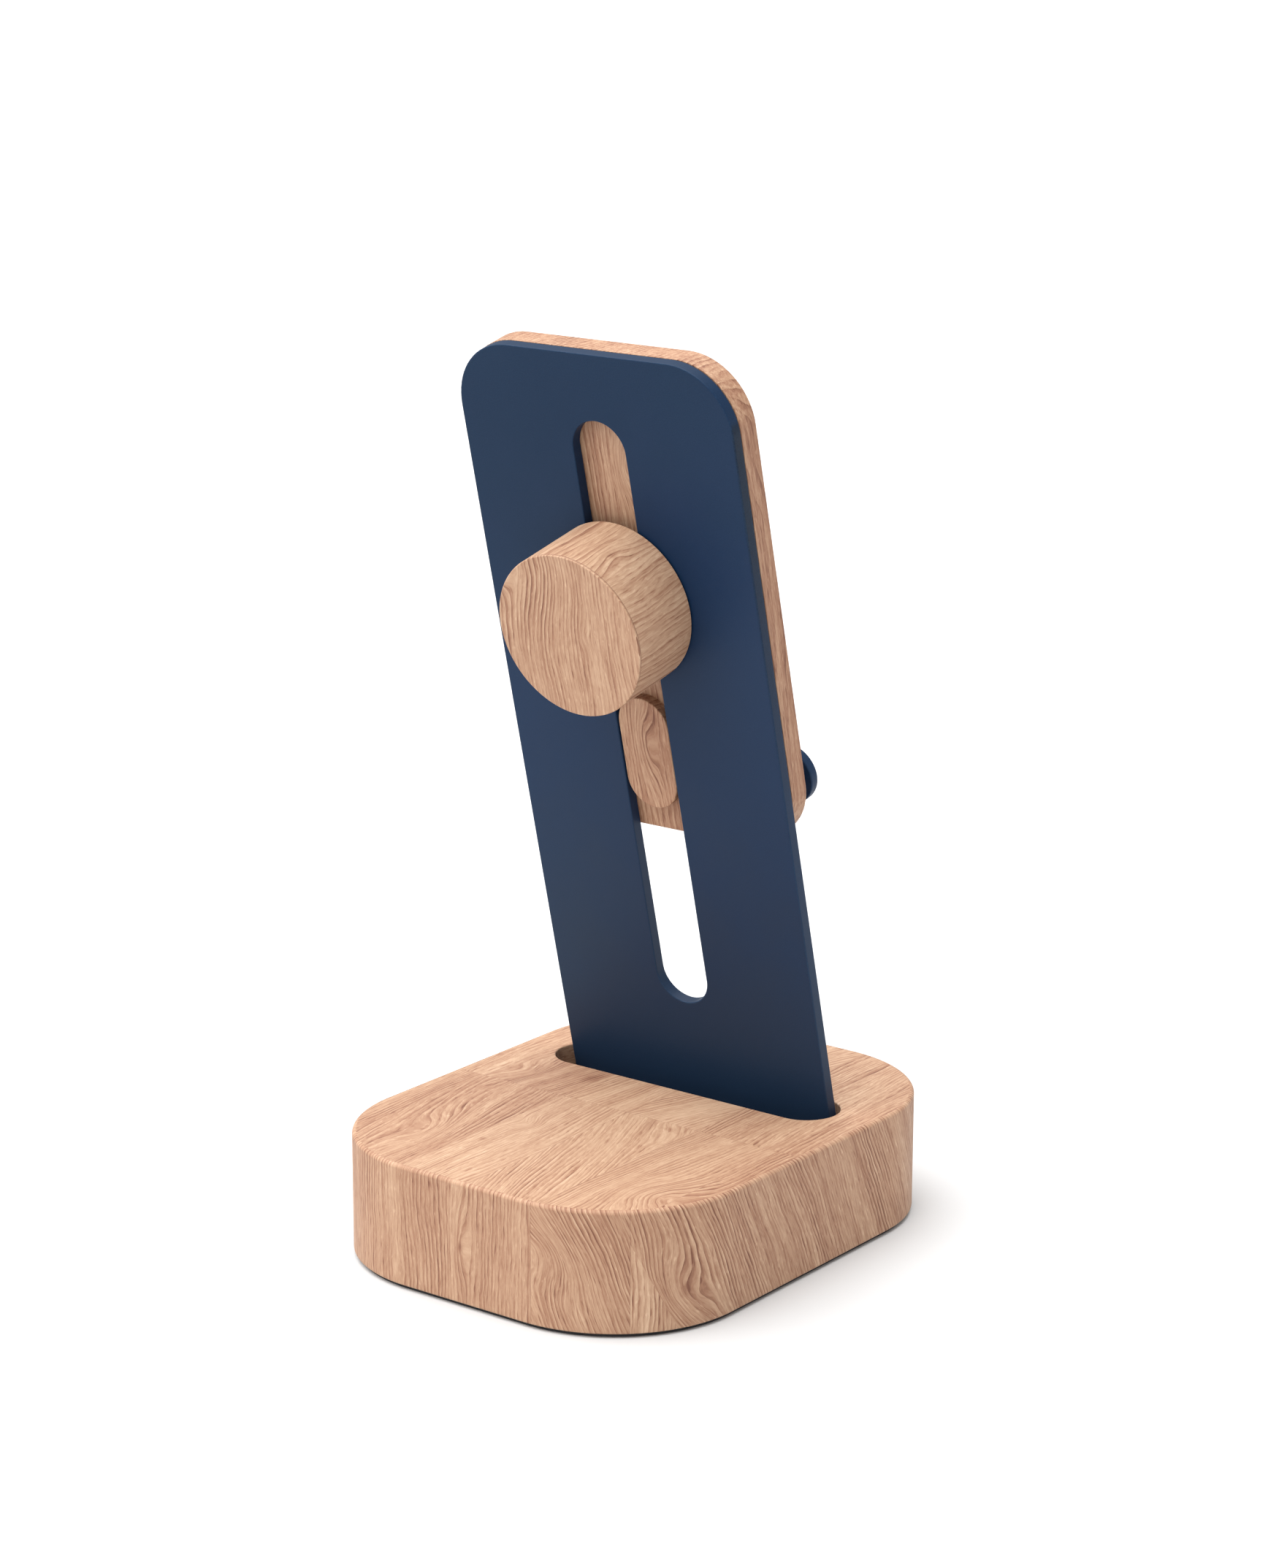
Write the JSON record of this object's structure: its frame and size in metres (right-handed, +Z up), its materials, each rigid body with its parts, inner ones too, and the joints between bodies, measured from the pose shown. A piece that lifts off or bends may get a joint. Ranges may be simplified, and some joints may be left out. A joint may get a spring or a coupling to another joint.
{
  "type": "adjustable phone stand",
  "caption": "Desk phone stand: oak base, leaning slotted navy plate, and an oak backrest with pegs that slides up the slot and clamps with a round oak knob.",
  "frame": {"origin": "on the table, under the centre of the base's rounded rectangle", "axes": "+Z up, the phone faces -Y, and the knob is on the +Y side; +X is the left-hand side seen from behind"},
  "size_m": [0.105, 0.1336, 0.2199],
  "materials": {
    "oak_base": "oiled oak, satin",
    "oak_board": "oiled oak, satin",
    "oak_key": "oiled oak, satin",
    "oak_knob": "oiled oak, satin",
    "oak_veneer": "oiled oak face veneer, satin",
    "beech": "plain beech dowel",
    "navy_coat": "fine-textured navy powder coat on steel, satin",
    "anti_slip": "soft matt charcoal sheet",
    "zinc_steel": "zinc-plated steel",
    "brass": "machined brass",
    "nylon": "black nylon"
  },
  "bodies": {
    "stand": {"base_block": "oak_base", "base_pad": "anti_slip", "upright": "navy_coat", "foot_screws": "zinc_steel"},
    "carriage": {"backrest": "oak_board", "guide_key": "oak_key", "key_dowels": "beech", "peg_right": "navy_coat", "peg_left": "navy_coat", "peg_screws": "zinc_steel", "clamp_bolt": "zinc_steel", "guide_bush": "nylon"},
    "washer": {"friction_washer": "nylon"},
    "knob": {"knob_body": "oak_knob", "knob_cap": "oak_veneer", "knob_insert": "brass"}
  },
  "joints": [
    {"name": "height_slide", "type": "slide", "parent": "stand", "child": "carriage", "axis": [0, 0.2368, 0.9715], "range_m": [-0.0534, 0.0375]},
    {"name": "washer_lift", "type": "slide", "parent": "carriage", "child": "washer", "axis": [0, 0.9715, -0.2368], "range_m": [0, 0.0021]},
    {"name": "knob_turn", "type": "hinge", "parent": "washer", "child": "knob", "pos_m": [0, 0.01592, 0.15561], "axis": [0, 0.9715, -0.2368], "range_deg": [0, 720]}
  ],
  "couplings": [
    {"joint": "washer_lift", "follows": "knob_turn", "m_per_rad": 0.00015915}
  ]
}
